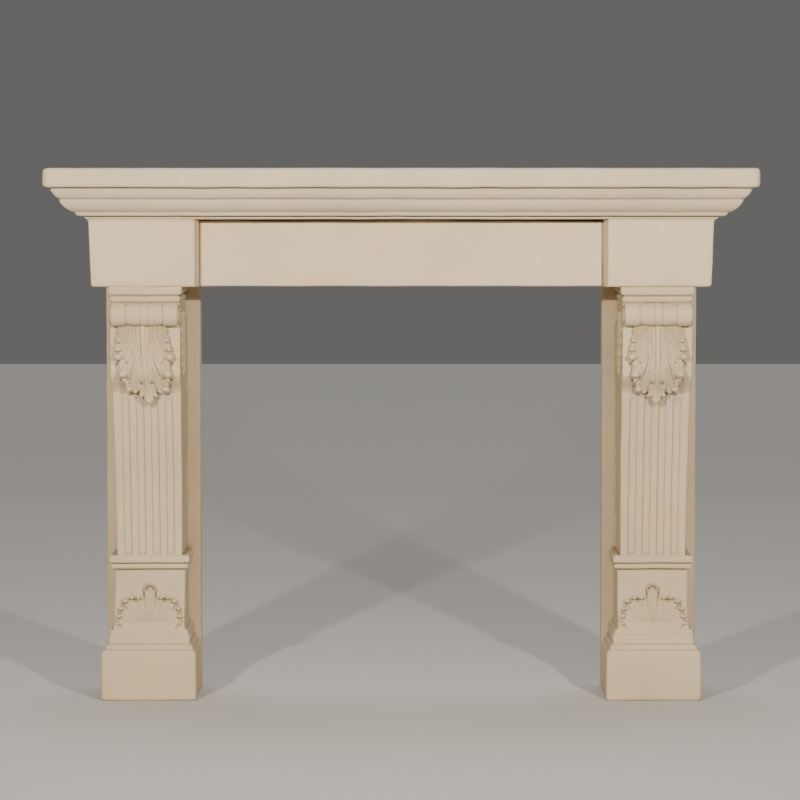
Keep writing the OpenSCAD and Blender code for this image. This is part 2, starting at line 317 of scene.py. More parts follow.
def build_shelf():
    stations = []
    for reach, height in shelf_edge():
        half = SHELF_REACH - SHELF_OVER + reach
        corner = SLAB_CORNER if height > CORNICE_H else CORNICE_CORNER
        stations.append((-half, half, BLOCK_DEEP + reach, CORNICE_Z + height, corner))
    return loft("shelf_stone_work", stations, even_columns(150), 36, amount=0.9, seed=1)


# ---- frieze ----

JOINT_SET = 0.3          # how far the blocks' and lintel's meeting ends stand back from the joint
BLOCK_CORNER, BLOCK_ARRIS = 4.5, 6
LINTEL_CORNER, LINTEL_ARRIS = 3, 3.4


def build_block(name, side, seed):
    """One frieze block: it leans out upwards, with a rounded foot and a small flare at its top."""
    height = CORNICE_Z - JAMB_TOP

    def outer(z):
        share = (z - JAMB_TOP) / height
        return BLOCK_OUT - BLOCK_BATTER * (1 - share)

    def flare(z):
        return BLOCK_FLARE * smoothstep(z, CORNICE_Z - 10, CORNICE_Z) ** 2

    inside = BLOCK_IN + JOINT_SET
    stations = []
    for z in [JAMB_TOP, JAMB_TOP + 0.6, JAMB_TOP + 1.8, JAMB_TOP + 3.6, JAMB_TOP + BLOCK_ARRIS,
              *upright(JAMB_TOP + 12, CORNICE_Z - 12, 9), *upright(CORNICE_Z - 10, CORNICE_Z, 1.6)]:
        ease = BLOCK_CORNER * (1 - min(1, (z - JAMB_TOP) / BLOCK_ARRIS)) ** 2
        out = outer(z) + flare(z) - ease
        left, right = (inside, out) if side > 0 else (-out, -inside)
        stations.append((left, right, BLOCK_DEEP + flare(z) - ease, z, BLOCK_CORNER))

    def draft(points):
        """The inner side draws outwards in front of the lintel."""
        forward = np.clip((points[:, 1] - LINTEL_DEEP) / (BLOCK_DEEP - LINTEL_DEEP), 0, 1)
        inner = np.clip((BLOCK_OUT - side * points[:, 0]) / (BLOCK_OUT - BLOCK_IN), 0, 1)
        points[:, 0] += side * BLOCK_DRAFT * forward * inner
        return points

    return loft(name, stations, even_columns(26), 30, draft, amount=0.8, seed=seed)


def build_lintel():
    """The lintel. Its top edge was never cut true, so the joint over it runs unevenly."""
    low, high = LINTEL_LOW[2], LINTEL_HIGH[2]
    half = -LINTEL_LOW[0] - JOINT_SET
    stations = []
    for z in [low, low + 0.5, low + 1.6, low + LINTEL_ARRIS, *upright(low + 8, high - 8, 9),
              high - 3, high - 1.4, high - 0.4, high]:
        foot = LINTEL_ARRIS * (1 - min(1, (z - low) / LINTEL_ARRIS)) ** 2
        head = 2.5 * (1 - min(1, (high - z) / 3)) ** 2
        stations.append((-half, half, LINTEL_DEEP - (foot + head), z, LINTEL_CORNER))

    def uneven(points):
        share = smoothstep(points[:, 2], low + 20, high)
        x = points[:, 0] / half
        points[:, 2] += share * (0.7 * np.sin(5.1 * x + 0.7) + 0.5 * np.sin(13 * x) - 0.8
                                 - 2.4 * np.exp(-((x - 0.96) / 0.03) ** 2))
        return points

    return loft("lintel_stone_work", stations, even_columns(110), 26, uneven, amount=0.8, seed=4)


# ---- jamb: the moulded and fluted body ----

FLUTE_PITCH = FLUTE_W + FILLET_W
FIRST_FLUTE = -(FLUTES - 1) / 2 * FLUTE_PITCH


def die_front(z):
    u = np.maximum(0, 1 - (np.maximum(z, FOOT_Z) - FOOT_Z) / (0.65 * DIE_H))
    return DIE_D + DIE_FLARE * u * u


def shaft_front(z):
    return SHAFT_D + SHAFT_RISE * np.maximum(0, (z - SHAFT_Z) / (HEAD_Z - SHAFT_Z)) ** 1.6


def head_front(z):
    """Reach of the jamb's front from the shaft up: under the head it curls out."""
    z = np.asarray(z, float)
    share = np.clip((z - HEAD_Z) / CURL_H, 0, 1)
    curl = HEAD_D - CURL_IN * (1 + np.cos(math.pi * share)) / 2
    return np.where(z < HEAD_Z, shaft_front(np.minimum(z, HEAD_Z)), curl)


SHAFT_SPREAD = 3         # how much wider, each side, the shaft is at its top
CURL_STEPS = 14


def jamb_stations():
    """(half width, depth, height, corner radius) up the jamb's moulded body."""
    rows = []

    def carry(points, half, deep, corner):
        rows.extend((half + reach, deep + reach, height, corner) for reach, height in points)

    step = PLINTH_H + 0.44 * OVOLO_H
    base = [(-5, 0), (-2.4, 1), (-0.8, 3), (0, 6)] + [(0, z) for z in upright(14, PLINTH_H - 7, 8)]
    base += quarter((-0.2, PLINTH_H - 4), (-0.35 * BASE_IN, step - 0.6), True, 0.6, 7)
    base += [(-0.47 * BASE_IN, step - 0.2), (-0.53 * BASE_IN, step + 0.8)]
    base += quarter((-0.49 * BASE_IN, step + 1.8), (-0.78 * BASE_IN, OVOLO_Z - 2.2), True, 0.3, 6)
    base += [(-0.90 * BASE_IN, OVOLO_Z - 1.2), (-1.04 * BASE_IN, OVOLO_Z - 0.4),
             (-BASE_IN, OVOLO_Z + 1.2)]
    base += [(-BASE_IN, z) for z in upright(OVOLO_Z + 4, DIE_Z - 5, 5)]
    base += quarter((-BASE_IN, DIE_Z - 3), (-BASE_IN - 3, DIE_Z - 0.4), True, 1, 4)
    carry(base, JAMB_HALF, PLINTH_D, 8)
    flare = float(die_front(FOOT_Z))
    for inset, z in ((1, DIE_Z), (0.4, DIE_Z + 1.5), (0, DIE_Z + 4), (-0.6, FOOT_Z - 3),
                     (-2, FOOT_Z - 0.8)):
        rows.append((FOOT_HALF + inset, flare + inset, z, 4))
    for z in [*upright(FOOT_Z + 0.3, FOOT_Z + 22, 2.5), *upright(FOOT_Z + 28, NECK_Z - 1, 7)]:
        foot = max(0, 1 - (z - FOOT_Z) / 20)
        rows.append((DIE_HALF + 2.5 * foot ** 2, float(die_front(z)) - 1.5 * foot ** 2, z, 3))
    neck = [(6, NECK_Z + 0.2)] + quarter((6.4, NECK_Z + 0.6), (9, NECK_Z + 6), False, 1, 5)
    neck += quarter((9, NECK_Z + 6.8), (5, NECK_Z + 12), True, 1, 5)
    neck += [(2.6, NECK_Z + 12.6), (2.6, NECK_Z + 14)]
    neck += quarter((8, NECK_Z + 14.6), (11.5, NECK_Z + 19), False, 1, 5)
    neck += quarter((11.5, SHAFT_Z - 6), (7, SHAFT_Z - 0.3), True, 1, 5)
    carry(neck, DIE_HALF, DIE_D + 6, 3)
    span = HEAD_Z - 1 - SHAFT_Z
    for z in [SHAFT_Z + 0.2, SHAFT_Z + 1, SHAFT_Z + 2.4, SHAFT_Z + 4,
              *upright(SHAFT_Z + 9, HEAD_Z - 1, 7)]:
        half = SHAFT_HALF + SHAFT_SPREAD * (z - SHAFT_Z) / span
        rows.append((half, float(shaft_front(z)), z, 3.5))
    for share in (i / CURL_STEPS for i in range(CURL_STEPS + 1)):
        z = HEAD_Z + CURL_H * share
        half = SHAFT_HALF + SHAFT_SPREAD + (HEAD_HALF - SHAFT_HALF - SHAFT_SPREAD) * share
        rows.append((half, float(head_front(z + 0.1)), z + 0.1, 3.5))
    for z in upright(HEAD_Z + CURL_H + 6, LEAF_TOP - 3, 7):
        rows.append((HEAD_HALF, HEAD_D, z, 3.5))
    for z in [LEAF_TOP + 2, *upright(LEAF_TOP + 8, CAP_Z - 1, 8)]:
        rows.append((HEAD_HALF - 4, HEAD_D, z, 3))
    cap = [(-5, CAP_Z - 0.3)] + quarter((-4, CAP_Z + 0.6), (0, CAP_Z + 7.4), False, 1, 5)
    cap += quarter((0, CAP_Z + 7.8), (-4, CAP_Z + 14.4), True, 1, 5)
    cap += [(-5.4, CAP_Z + 15.2), (-5.4, CAP_Z + 17)]
    cap += quarter((-1, CAP_Z + 17.8), (2.5, CAP_Z + 23), False, 1, 4)
    cap += [(3.4, CAP_Z + 28), (4, CAP_Z + 33), (4, JAMB_TOP)]
    carry(cap, HEAD_HALF, HEAD_D, 3)
    return rows


def flute_depth(x, z):
    """How far the flutes cut in at a place on the shaft's front."""
    nearest = np.clip(np.round((x - FIRST_FLUTE) / FLUTE_PITCH), 0, FLUTES - 1)
    off = np.abs(x - (FIRST_FLUTE + nearest * FLUTE_PITCH))
    across = 1 - smoothstep(off, FLUTE_W / 2 - 2.4, FLUTE_W / 2 + 0.2)
    dish = 1 - 0.18 * (off / (FLUTE_W / 2)) ** 2
    foot = smoothstep(z, SHAFT_Z + 0.6, SHAFT_Z + 3.2)
    top = 1 - smoothstep(z, HEAD_Z - 12, HEAD_Z - 1)
    return FLUTE_DEEP * across * dish * (foot * top)


def jamb_columns(low, high):
    """Front columns: close together at each flute's edges, and a few in each side margin."""
    xs = []
    for i in range(FLUTES):
        middle = (i - (FLUTES - 1) / 2) * FLUTE_PITCH
        for edge in SIDES:
            side = middle + edge * FLUTE_W / 2
            xs += [side + edge * 0.4, side - edge * 0.5, side - edge * 1.4, side - edge * 2.6]
        xs += [middle, middle - 4, middle + 4]
        if i < FLUTES - 1:
            fillet = middle + FLUTE_PITCH / 2
            xs += [fillet, fillet - 3.5, fillet + 3.5]
    xs.sort()
    left = np.linspace(low, xs[0], 7)[:-1]
    right = np.linspace(xs[-1], high, 7)[1:]
    return [*left, *xs, *right]


def jamb_body(name, seed):
    stations = [(-half, half, deep, z, corner) for half, deep, z, corner in jamb_stations()]

    def cut_flutes(points):
        front = (points[:, 2] > SHAFT_Z) & (points[:, 2] < HEAD_Z) & (
            points[:, 1] > shaft_front(points[:, 2]) - 0.5)
        points[front, 1] -= flute_depth(points[front, 0], points[front, 2])
        return points

    return loft(name, stations, jamb_columns, 20, cut_flutes, amount=0.95, seed=seed)


def back_slab(name, seed):
    stations = [(-JAMB_HALF, JAMB_HALF, BACK_T, z, 4) for z in upright(0, JAMB_TOP, 12)]
    return loft(name, stations, even_columns(20), 6, amount=0.6, seed=seed)


# ---- jamb: the scroll roll ----

def roll_radius(x):
    """Radius along the roll: wide outer rolls, a quirk, hollow reels and a strap in the middle."""
    s = abs(x) / ROLL_HALF
    outer = ROLL_R * (1 - 0.05 * max(0, abs(s - 0.78) / 0.22) ** 2.5)
    reel = ROLL_R * (0.965 - 0.11 * max(0, (s - 0.14) / 0.4) ** 2)
    strap = ROLL_R * (0.99 - 0.02 * (s / 0.1) ** 2)
    if s > 0.56:
        return outer * (1 - 0.12 * float(smoothstep(s, 0.965, 1.0)))
    if s > 0.54:
        return ROLL_R * 0.835
    if s > 0.13:
        return reel
    if s > 0.108:
        return ROLL_R * 0.92
    return strap


def build_roll(name, seed):
    xs = np.linspace(-ROLL_HALF, ROLL_HALF, 165)
    around = 72
    points = []
    for x in xs:
        r = roll_radius(x)
        for k in range(around):
            a = FULL_TURN * k / around
            points.append((x, ROLL_D + r * math.cos(a), ROLL_Z + r * math.sin(a)))
    return make_object(name, wear(points, 0.45, 60, seed), tube_faces(len(xs), around))


# ---- carving: blades laid side by side over a ground, then fused ----

def blade(name, spine, width, front, ground, ribs=2, rib=0.9, crown=2.5, curl=2.0, under=0.8,
          lean=0.0, along=34, across=17):
    """A closed leaf blade. spine is three (x, z) points of a curve from root to tip, width(s) its
    half width, front(x, z) the skin it lies on and ground(x, z) its buried back."""
    root, bend, tip = (np.array(p, float) for p in spine)
    s = np.linspace(0, 1, along)
    line = (np.outer((1 - s) ** 2, root) + np.outer(2 * s * (1 - s), bend) + np.outer(s ** 2, tip))
    heading = np.outer(1 - s, bend - root) + np.outer(s, tip - bend)
    heading /= np.linalg.norm(heading, axis=1)[:, None]
    side = np.column_stack((-heading[:, 1], heading[:, 0]))
    v = np.linspace(-1, 1, across)
    skin, back = [], []
    for i, si in enumerate(s):
        w = width(si)
        for vi in v:
            x, z = line[i] + side[i] * w * vi
            ridges = rib * abs(math.cos(math.pi * ribs * vi)) * float(smoothstep(si, 0.0, 0.25))
            swell = crown * (1 - vi * vi) ** 0.7 + lean * vi
            lift = curl * float(smoothstep(si, 0.62, 0.97))
            roll = -3.2 * float(smoothstep(si, 0.93, 1.0))
            skin.append((x, float(front(x, z)) + ridges + swell + lift + roll, z))
            bx, bz = line[i] + side[i] * w * vi * under
            back.append((bx, float(ground(bx, bz)), bz))
    points = skin + back
    total = len(skin)
    faces = []
    for i in range(along - 1):
        for j in range(across - 1):
            a = i * across + j
            faces.append((a, a + 1, a + across + 1, a + across))
            faces.append((total + a, total + a + across, total + a + across + 1, total + a + 1))
    rim = list(range(across))
    rim += [i * across + across - 1 for i in range(1, along)]
    rim += [(along - 1) * across + j for j in range(across - 2, -1, -1)]
    rim += [i * across for i in range(along - 2, 0, -1)]
    for a, b in zip(rim, rim[1:] + rim[:1]):
        faces.append((a, b, total + b, total + a))
    return make_object(name, points, faces)


TONGUE_BLUNT = 3.4       # the higher, the blunter a lobe's tip
THINNEST = 0.25


def tongue(widest, root_share, peak):
    """Half width along a blade: it grows from its root, swells near the tip and rounds off."""
    def width(s):
        grow = root_share + (1 - root_share) * math.sin(math.pi / 2 * min(1, s / peak))
        end = max(0.0, 1 - max(0, (s - peak) / (1 - peak)) ** TONGUE_BLUNT) ** 0.5
        return max(THINNEST, widest * grow * end)
    return width


def knob(name, place, radius, front, lift, flat=0.8):
    """A lobe's tip curled over into a small round knob. Its middle stands out from the skin by
    lift, and its height is flat times its width, both in shares of its radius."""
    rings, around = 8, 14
    x, z = place
    reach = float(front(x, z)) + lift * radius
    points = [(x, reach + radius, z)]
    for i in range(1, rings):
        a = math.pi * i / rings
        for k in range(around):
            b = FULL_TURN * k / around
            points.append((x + radius * math.sin(a) * math.cos(b), reach + radius * math.cos(a),
                           z + flat * radius * math.sin(a) * math.sin(b)))
    points.append((x, reach - radius, z))
    faces = [(0, 1 + k, 1 + (k + 1) % around) for k in range(around)]
    for i in range(rings - 2):
        for k in range(around):
            a, b = 1 + i * around + k, 1 + i * around + (k + 1) % around
            faces.append((a, a + around, b + around, b))
    last = len(points) - 1
    faces += [(last, last - around + (k + 1) % around, last - around + k) for k in range(around)]
    return make_object(name, points, faces)


def groove(off, width):
    """Share of a groove's depth at a distance off its middle line."""
    return np.exp(-(off / width) ** 2)


def carve(obj, cut, floor):
    """Moves the skin that looks out from the wall by cut(x, z) mm, where it is past floor(x, z)."""
    x, reach, z = get_points(obj)
    facing = np.empty(len(obj.data.vertices) * 3)
    obj.data.vertex_normals.foreach_get("vector", facing)
    outward = -facing.reshape(-1, 3)[:, 1]
    weight = smoothstep(outward, 0.15, 0.5) * smoothstep(reach - floor(x, z), 0, 3)
    set_points(obj, x, reach + weight * cut(x, z), z)


def drill_bits(name, spots, place, front, lift, flat):
    """A round bit for each hole, at (across, up, radius) on both sides."""
    return [knob(f"{name}_{side}_{i}", place(side * across, up), radius, front, lift, flat)
            for side in SIDES for i, (across, up, radius) in enumerate(spots)]


def curled_tip(bend, end, back):
    """The middle of a knob that lies so far back from the end of its lobe."""
    return end - back * (end - bend) / np.linalg.norm(end - bend)


def round_tips(x, z, tips):
    """Keeps the skin smooth on the curled tips (0 there, 1 elsewhere), and the share of the
    crescent cut beneath each."""
    calm, cut = 1.0, 0.0
    for across, height, radius in tips:
        ring = np.hypot(x - across, (z - height) / 0.8)
        calm = calm * (1 - np.exp(-(ring / (1.05 * radius)) ** 4))
        cut = cut + groove(ring - 1.35 * radius, 0.3 * radius) * smoothstep(
            height - z, -0.1 * radius, 0.6 * radius)
    return calm, np.minimum(cut, 1)


def leaf_line(z):
    """Reach of the leaf's middle line: it swells to a belly, sweeps back with the head, and its
    tip curls out again below a throat."""
    z = np.asarray(z, float)
    low = np.clip((LEAF_MID - z) / (LEAF_MID - LEAF_TIP), 0, 1.1)
    high = np.clip((z - LEAF_MID) / (LEAF_TOP - LEAF_MID), 0, 1.6)
    sweep = (1 - np.cos(math.pi * np.minimum(low, 1) ** 1.6)) / 2
    throat = 9 * groove(low - 0.66, 0.24)
    return HEAD_D + LEAF_PROUD - 6 * high ** 2 - (LEAF_PROUD + 27) * sweep - throat


# One side's lobes of the leaf from the top down: tip, root, half width, and the knob's radius.
# Across in shares of the half width, up in shares of the length from the tip.
LEAF_LOBES = [
    ((0.76, 0.91), (0.62, 1.08), 8.0, 0),
    ((0.82, 0.81), (0.56, 1.06), 8.5, 5.0),
    ((0.88, 0.70), (0.48, 1.04), 9.0, 6.5),
    ((0.90, 0.60), (0.40, 1.01), 12.0, 10.5),
    ((0.82, 0.49), (0.32, 0.94), 9.5, 0),
    ((0.79, 0.38), (0.26, 0.86), 13.0, 11.0),
    ((0.75, 0.28), (0.21, 0.76), 10.5, 0),
    ((0.64, 0.185), (0.16, 0.68), 13.5, 8.4),
    ((0.44, 0.160), (0.10, 0.62), 12.0, 7.6),
    ((0.25, 0.105), (0.04, 0.46), 8.5, 5.4),
]


def leaf_sway(up, sway):
    """The leaf leans: its middle line moves across from its top to its tip."""
    return sway * ((1 - up) ** 2 - 0.6 * up)


def leaf_place(across, up, sway):
    return np.array((across * LEAF_HALF + leaf_sway(up, sway), LEAF_TIP + up * LEAF_LEN))


# Cuts that part the leaflets: distance off the middle at the leaf's top, start and end down the
# leaf in shares of its length, and depth.
LEAF_CUTS = [(20.5, 0.15, 0.50, 3.2), (11.2, 0.22, 0.70, 4.4), (4.2, 0.42, 0.76, 3.6)]
# Drilled eyes at the ends of the cuts: across, up, radius and depth.
LEAF_EYES = [(0.59, 0.325, 3.8, 13), (0.17, 0.275, 3.0, 11), (0.33, 0.165, 4.0, 13),
             (0.58, 0.545, 2.2, 6)]
CRESCENT_DEEP = 5        # depth of the cut under each curled tip


def build_leaf(name, sway):
    def place(across, up):
        return leaf_place(across, up, sway)

    def from_middle(x, z):
        return x - leaf_sway(1 - np.clip((LEAF_TOP - z) / LEAF_LEN, 0, 1.1), sway)

    def front(x, z):
        return leaf_line(z) - 10 * (from_middle(x, z) / LEAF_HALF) ** 2 - 5

    def ground(x, z):
        return float(head_front(z)) - 7

    def stem(s):
        if s < 0.72:
            return 7.5 - 2.5 * s
        t = (s - 0.72) / 0.28
        return (5.7 + 6.5 * math.sin(math.pi * t * 0.7)) * max(0.02, 1 - t ** 7) ** 0.5

    def veins(x, z):
        """Fanning veins, a quirk along each side of the stem, deeper cuts that part the leaflets,
        and a drilled eye at the end of each cut."""
        down = np.clip((LEAF_TOP - z) / LEAF_LEN, -0.1, 1.1)
        off = np.abs(from_middle(x, z))
        fan = off * np.exp(-1.8 * down)
        low = smoothstep(down, 0.42, 0.60)
        outer = smoothstep(off, 9 - 4 * down, 14 - 6 * down)
        fine = (1 - low) * np.cos(FULL_TURN * fan / 4.2) + low * np.cos(FULL_TURN * fan / 2.1)
        depth = 1.4 * outer * fine - 1.5 * groove(off - (7.5 - 2.5 * down), 1.1) * (down < 0.8)
        for line, start, end, deep in LEAF_CUTS:
            along = smoothstep(down, start, end) * (down < end + 0.03)
            depth -= deep * groove(fan - line, 0.75) * along
        for across, up, wide, deep in LEAF_EYES:
            at = np.hypot(off - across * LEAF_HALF, 0.7 * (z - LEAF_TIP - up * LEAF_LEN))
            depth -= deep * groove(at, wide)
        calm, cut = round_tips(x, z, tips)
        return calm * depth - CRESCENT_DEEP * cut

    blades, tips = [], []
    for side in SIDES:
        for i, (tip, root, widest, ball) in enumerate(LEAF_LOBES):
            start, end = place(side * root[0], root[1]), place(side * tip[0], tip[1])
            bend = np.array((start[0] + 0.30 * (end[0] - start[0]),
                             end[1] + 0.36 * (start[1] - end[1])))
            width = tongue(widest, 0.45, 0.74)
            blades.append(blade(f"{name}_{side}_{i}", (start, bend, end), width, front, ground,
                                ribs=2, rib=0.6, crown=3.4, curl=2.0 + 0.25 * i,
                                lean=side * 1.6))
            if ball:
                curled = curled_tip(bend, end, 0.5 * ball)
                tips.append((*curled, ball))
                blades.append(knob(f"{name}_knob_{side}_{i}", curled, ball, front, 0.75 - 0.04 * i))
    midrib = (place(0, 1.06), place(0, 0.5), place(0, 0.0))
    blades.append(blade(f"{name}_mid", midrib, stem, front, ground, ribs=1.5, rib=0.7, crown=5.6,
                        curl=5, along=60, across=19))
    blades.append(knob(f"{name}_knob_mid", place(0, 0.055), 9.0, front, 0.45))
    body = (place(0, 1.05), place(0, 0.6), place(0, 0.2))
    blades.append(blade(f"{name}_bed", body, lambda s: LEAF_HALF * (0.80 - 0.42 * s ** 2),
                        lambda x, z: front(x, z) - 1.0, ground, ribs=0, rib=0, crown=0, curl=0,
                        along=40, across=21))
    leaf = fuse(blades, name, CARVING_VOXEL)
    carve(leaf, veins, lambda x, z: head_front(z) + 3)
    return thinned(leaf, LEAF_TRIANGLES)


# Holes drilled into the ground under one side's curled tips of the leaf: across, up, radius.
LEAF_HOLES = [(0.83, 0.765, 3.6), (0.88, 0.655, 4.4), (0.87, 0.530, 6.6), (0.80, 0.445, 4.4),
              (0.78, 0.320, 6.8), (0.72, 0.235, 4.8), (0.60, 0.130, 6.4), (0.335, 0.150, 6.8),
              (0.230, 0.055, 5.0)]

# ---- the shell on the die ----

# Holes under one side's curled tips of the shell, and the slanting cut below the lowest.
SHELL_HOLES = [(0.43, 0.615, 6.0), (0.63, 0.620, 4.4), (0.79, 0.520, 6.4), (0.90, 0.350, 5.4),
               (0.965, 0.185, 4.8), (0.90, 0.115, 3.4), (0.85, 0.080, 3.4), (0.80, 0.045, 3.4),
               (0.75, 0.010, 3.4)]
# One side's lobes of the shell from the crown down: tip, half width, and the knob's radius.
SHELL_LOBES = [((0.34, 0.70), 7.0, 5.2), ((0.55, 0.71), 7.2, 5.8), ((0.76, 0.64), 8.0, 7.0),
               ((0.88, 0.46), 7.6, 6.0), ((0.93, 0.29), 7.4, 5.8), ((0.94, 0.13), 7.2, 5.2)]
# Hollows under the curled tips: across, up, lean in radians, and depth.
SHELL_HOLLOWS = [(0.42, 0.62, 0.0, 9), (0.79, 0.53, 0.5, 9), (0.88, 0.36, 0.8, 8),
                 (0.95, 0.205, 0.9, 8)]


def shell_place(across, up):
    return np.array((across * SHELL_HALF, SHELL_FOOT + up * SHELL_H))


def build_shell(name):
    foot = SHELL_FOOT
    hood = foot + 0.84 * SHELL_H
    place = shell_place

    def front(x, z):
        return die_front(z) + SHELL_PROUD * (0.75 * smoothstep(z, foot - 2, foot + 26) - 0.4)

    def ground(x, z):
        return float(die_front(z)) - 7

    def fluting(x, z):
        """Ribs that fan from the foot, a hollow under each curled tip, and the crown's hood."""
        off = np.abs(x)
        angle = np.arctan2(off, z - foot + 30)
        depth = 1.1 * np.cos(FULL_TURN * angle / 0.085) * smoothstep(z, foot + 4, foot + 20)
        beside = groove(off - 11 - 0.03 * (z - foot), 1.5)
        depth -= 1.6 * beside * smoothstep(z, foot + 30, foot + 60)
        for across, up, lean, deep in SHELL_HOLLOWS:
            dx, dz = off - across * SHELL_HALF, z - foot - up * SHELL_H
            along = dx * math.sin(lean) - dz * math.cos(lean)
            over = dx * math.cos(lean) + dz * math.sin(lean)
            depth -= deep * np.exp(-(along / 5.0) ** 2 - (over / 2.6) ** 2)
        slant = (off - 0.80 * SHELL_HALF) * 0.62 - (z - foot - 0.055 * SHELL_H) * 0.78
        depth -= 7 * groove(slant, 1.7) * (off > 0.66 * SHELL_HALF) * (off < 0.97 * SHELL_HALF)
        ring = np.hypot(x, z - hood)
        above = smoothstep(z, hood - 8, hood + 2)
        depth += 3.2 * groove(ring - 14.5, 2.6) * above - 9 * groove(ring - 9.6, 2.3) * above
        rising, ending = smoothstep(z, hood - 24, hood - 16), 1 - smoothstep(z, hood - 4, hood + 4)
        depth -= 6 * groove(off - 15.5, 1.8) * rising * ending
        calm, cut = round_tips(x, z, tips)
        return calm * depth - CRESCENT_DEEP * cut

    blades, tips = [], []
    for side in SIDES:
        for i, (tip, widest, ball) in enumerate(SHELL_LOBES):
            root = place(side * (0.08 + 0.07 * i), -0.02)
            end = place(side * tip[0], tip[1])
            bend = root + (end - root) * np.array((0.36, 0.62))
            blades.append(blade(f"{name}_{side}_{i}", (root, bend, end), tongue(widest, 0.6, 0.80),
                                front, ground, ribs=2, rib=0.5, crown=2.4, curl=3.0,
                                lean=side * 0.8, under=0.92))
            curled = curled_tip(bend, end, 0.6 * ball)
            tips.append((*curled, ball))
            blades.append(knob(f"{name}_knob_{side}_{i}", curled, ball, front, 0.95))
    crown = (place(0, -0.05), place(0, 0.5), place(0, 0.99))
    blades.append(blade(f"{name}_crown", crown, tongue(15.5, 0.6, 0.84), front, ground, ribs=2,
                        rib=0.6, crown=3.2, curl=5.0, under=0.92, across=21))
    bed = (place(0, -0.08), place(0, 0.3), place(0, 0.66))
    blades.append(blade(f"{name}_bed", bed, lambda s: SHELL_HALF * (0.90 - 0.40 * s ** 2),
                        lambda x, z: front(x, z) - 2.0, ground, ribs=0, rib=0, crown=0, curl=0))
    shell = fuse(blades, name, CARVING_VOXEL)
    carve(shell, fluting, lambda x, z: die_front(z) + 1.5)
    return thinned(shell, SHELL_TRIANGLES)


# ---- carving on the head's sides ----

# One side's lobes of the side leaf from the top down: tip, half width and knob's radius.
SIDE_LOBES = [((0.90, 0.80), 11, 0), ((1.0, 0.60), 11, 5), ((0.84, 0.38), 11, 6),
              ((0.50, 0.16), 10, 6)]


def turned(obj, sign):
    """Turns carving made for a front onto the head's right (1) or left (-1) side."""
    across, reach, height = get_points(obj)
    middle = HEAD_D - SIDE_SET - SIDE_HALF
    set_points(obj, sign * reach, middle + across, height)
    tidy_mesh(obj, 0.001)
    return obj


def build_side(name, sign):
    low = LEAF_TOP + 12 - SIDE_LEN

    def place(across, up):
        return np.array((across * SIDE_HALF, low + up * SIDE_LEN))

    def front(x, z):
        return HEAD_HALF + SIDE_PROUD * 0.35 - 2 * (x / SIDE_HALF) ** 2

    def ground(x, z):
        return HEAD_HALF - 8

    def veins(x, z):
        down = np.clip((low + SIDE_LEN - z) / SIDE_LEN, 0, 1)
        off = np.abs(x)
        fan = off * np.exp(-1.5 * down)
        fine = 0.8 * np.cos(FULL_TURN * fan / 4.6) * smoothstep(off, 5, 10)
        return fine - 2 * groove(off - 6.5 + 3 * down, 1.2)

    blades = []
    for side in SIDES:
        for i, (tip, widest, ball) in enumerate(SIDE_LOBES):
            root, end = place(side * 0.12, tip[1] + 0.34), place(side * tip[0], tip[1])
            bend = np.array((root[0] + 0.3 * (end[0] - root[0]),
                             end[1] + 0.3 * (root[1] - end[1])))
            blades.append(blade(f"{name}_{side}_{i}", (root, bend, end), tongue(widest, 0.5, 0.74),
                                front, ground, ribs=2, rib=0.6, crown=2, curl=1.2, along=26,
                                across=13))
            if ball:
                curled = curled_tip(bend, end, 0.7 * ball)
                blades.append(knob(f"{name}_knob_{side}_{i}", curled, ball, front, 0.1))
    blades.append(blade(f"{name}_mid", (place(0, 1.0), place(0, 0.5), place(0, 0)),
                        tongue(8, 0.7, 0.8), front, ground, ribs=1, rib=0.5, crown=3.5, curl=0))
    leaf = fuse(blades, name, SIDE_VOXEL)
    carve(leaf, veins, lambda x, z: HEAD_HALF)
    return turned(thinned(leaf, SIDE_TRIANGLES), sign)


EYE_TURNS, EYE_STEPS, EYE_AROUND = 1.6, 90, 10
EYE_BAND = 2.6           # half thickness of the spiral's band at its outer end


def build_eyes(name):
    """The spiral band on both ends of the roll. It winds in from the rim and thins as it goes."""
    parts = []
    for sign in SIDES:
        points = []
        for i in range(EYE_STEPS):
            t = i / (EYE_STEPS - 1)
            a = math.radians(90) + t * EYE_TURNS * FULL_TURN
            r = (ROLL_R - 4) * (1 - 0.78 * t)
            thick = EYE_BAND * (1 - 0.35 * t)
            for k in range(EYE_AROUND):
                b = FULL_TURN * k / EYE_AROUND
                rr = r + thick * math.cos(b)
                points.append((sign * (ROLL_HALF + 1.2 + thick * 0.9 * math.sin(b)),
                               ROLL_D + rr * math.cos(a), ROLL_Z + rr * math.sin(a)))
        parts.append(make_object(f"{name}_{sign}", points, tube_faces(EYE_STEPS, EYE_AROUND)))
    return parts


# ---- a whole jamb ----


def build_jamb(name, centre, sway, seed):
    """One jamb: body, slab, roll and carving made one, then drilled under the curled tips."""
    body = jamb_body(name, seed)
    extras = [back_slab(name + "_slab", seed + 1), build_roll(name + "_roll", seed + 2),
              *build_eyes(name + "_eye"), build_leaf(name + "_leaf", sway),
              build_shell(name + "_shell"), build_side(name + "_side_r", 1),
              build_side(name + "_side_l", -1)]
    unite(body, extras)
    holes = drill_bits(name + "_leaf_hole", LEAF_HOLES,
                       lambda across, up: leaf_place(across, up, sway),
                       lambda x, z: head_front(z), 0.1, 0.6)
    holes += drill_bits(name + "_shell_hole", SHELL_HOLES, shell_place,
                        lambda x, z: die_front(z), 0.35, 0.85)
    for some in (holes[::2], holes[1::2]):
        drill = join(some, name + "_drill")
        use_modifier(body, "BOOLEAN", operation="DIFFERENCE", solver="MANIFOLD", object=drill)
        bpy.data.objects.remove(drill)
    for vertex in body.data.vertices:
        vertex.co.x += centre * MM
    tidy_mesh(body, 0.01)
    return body


# ---- stone ----

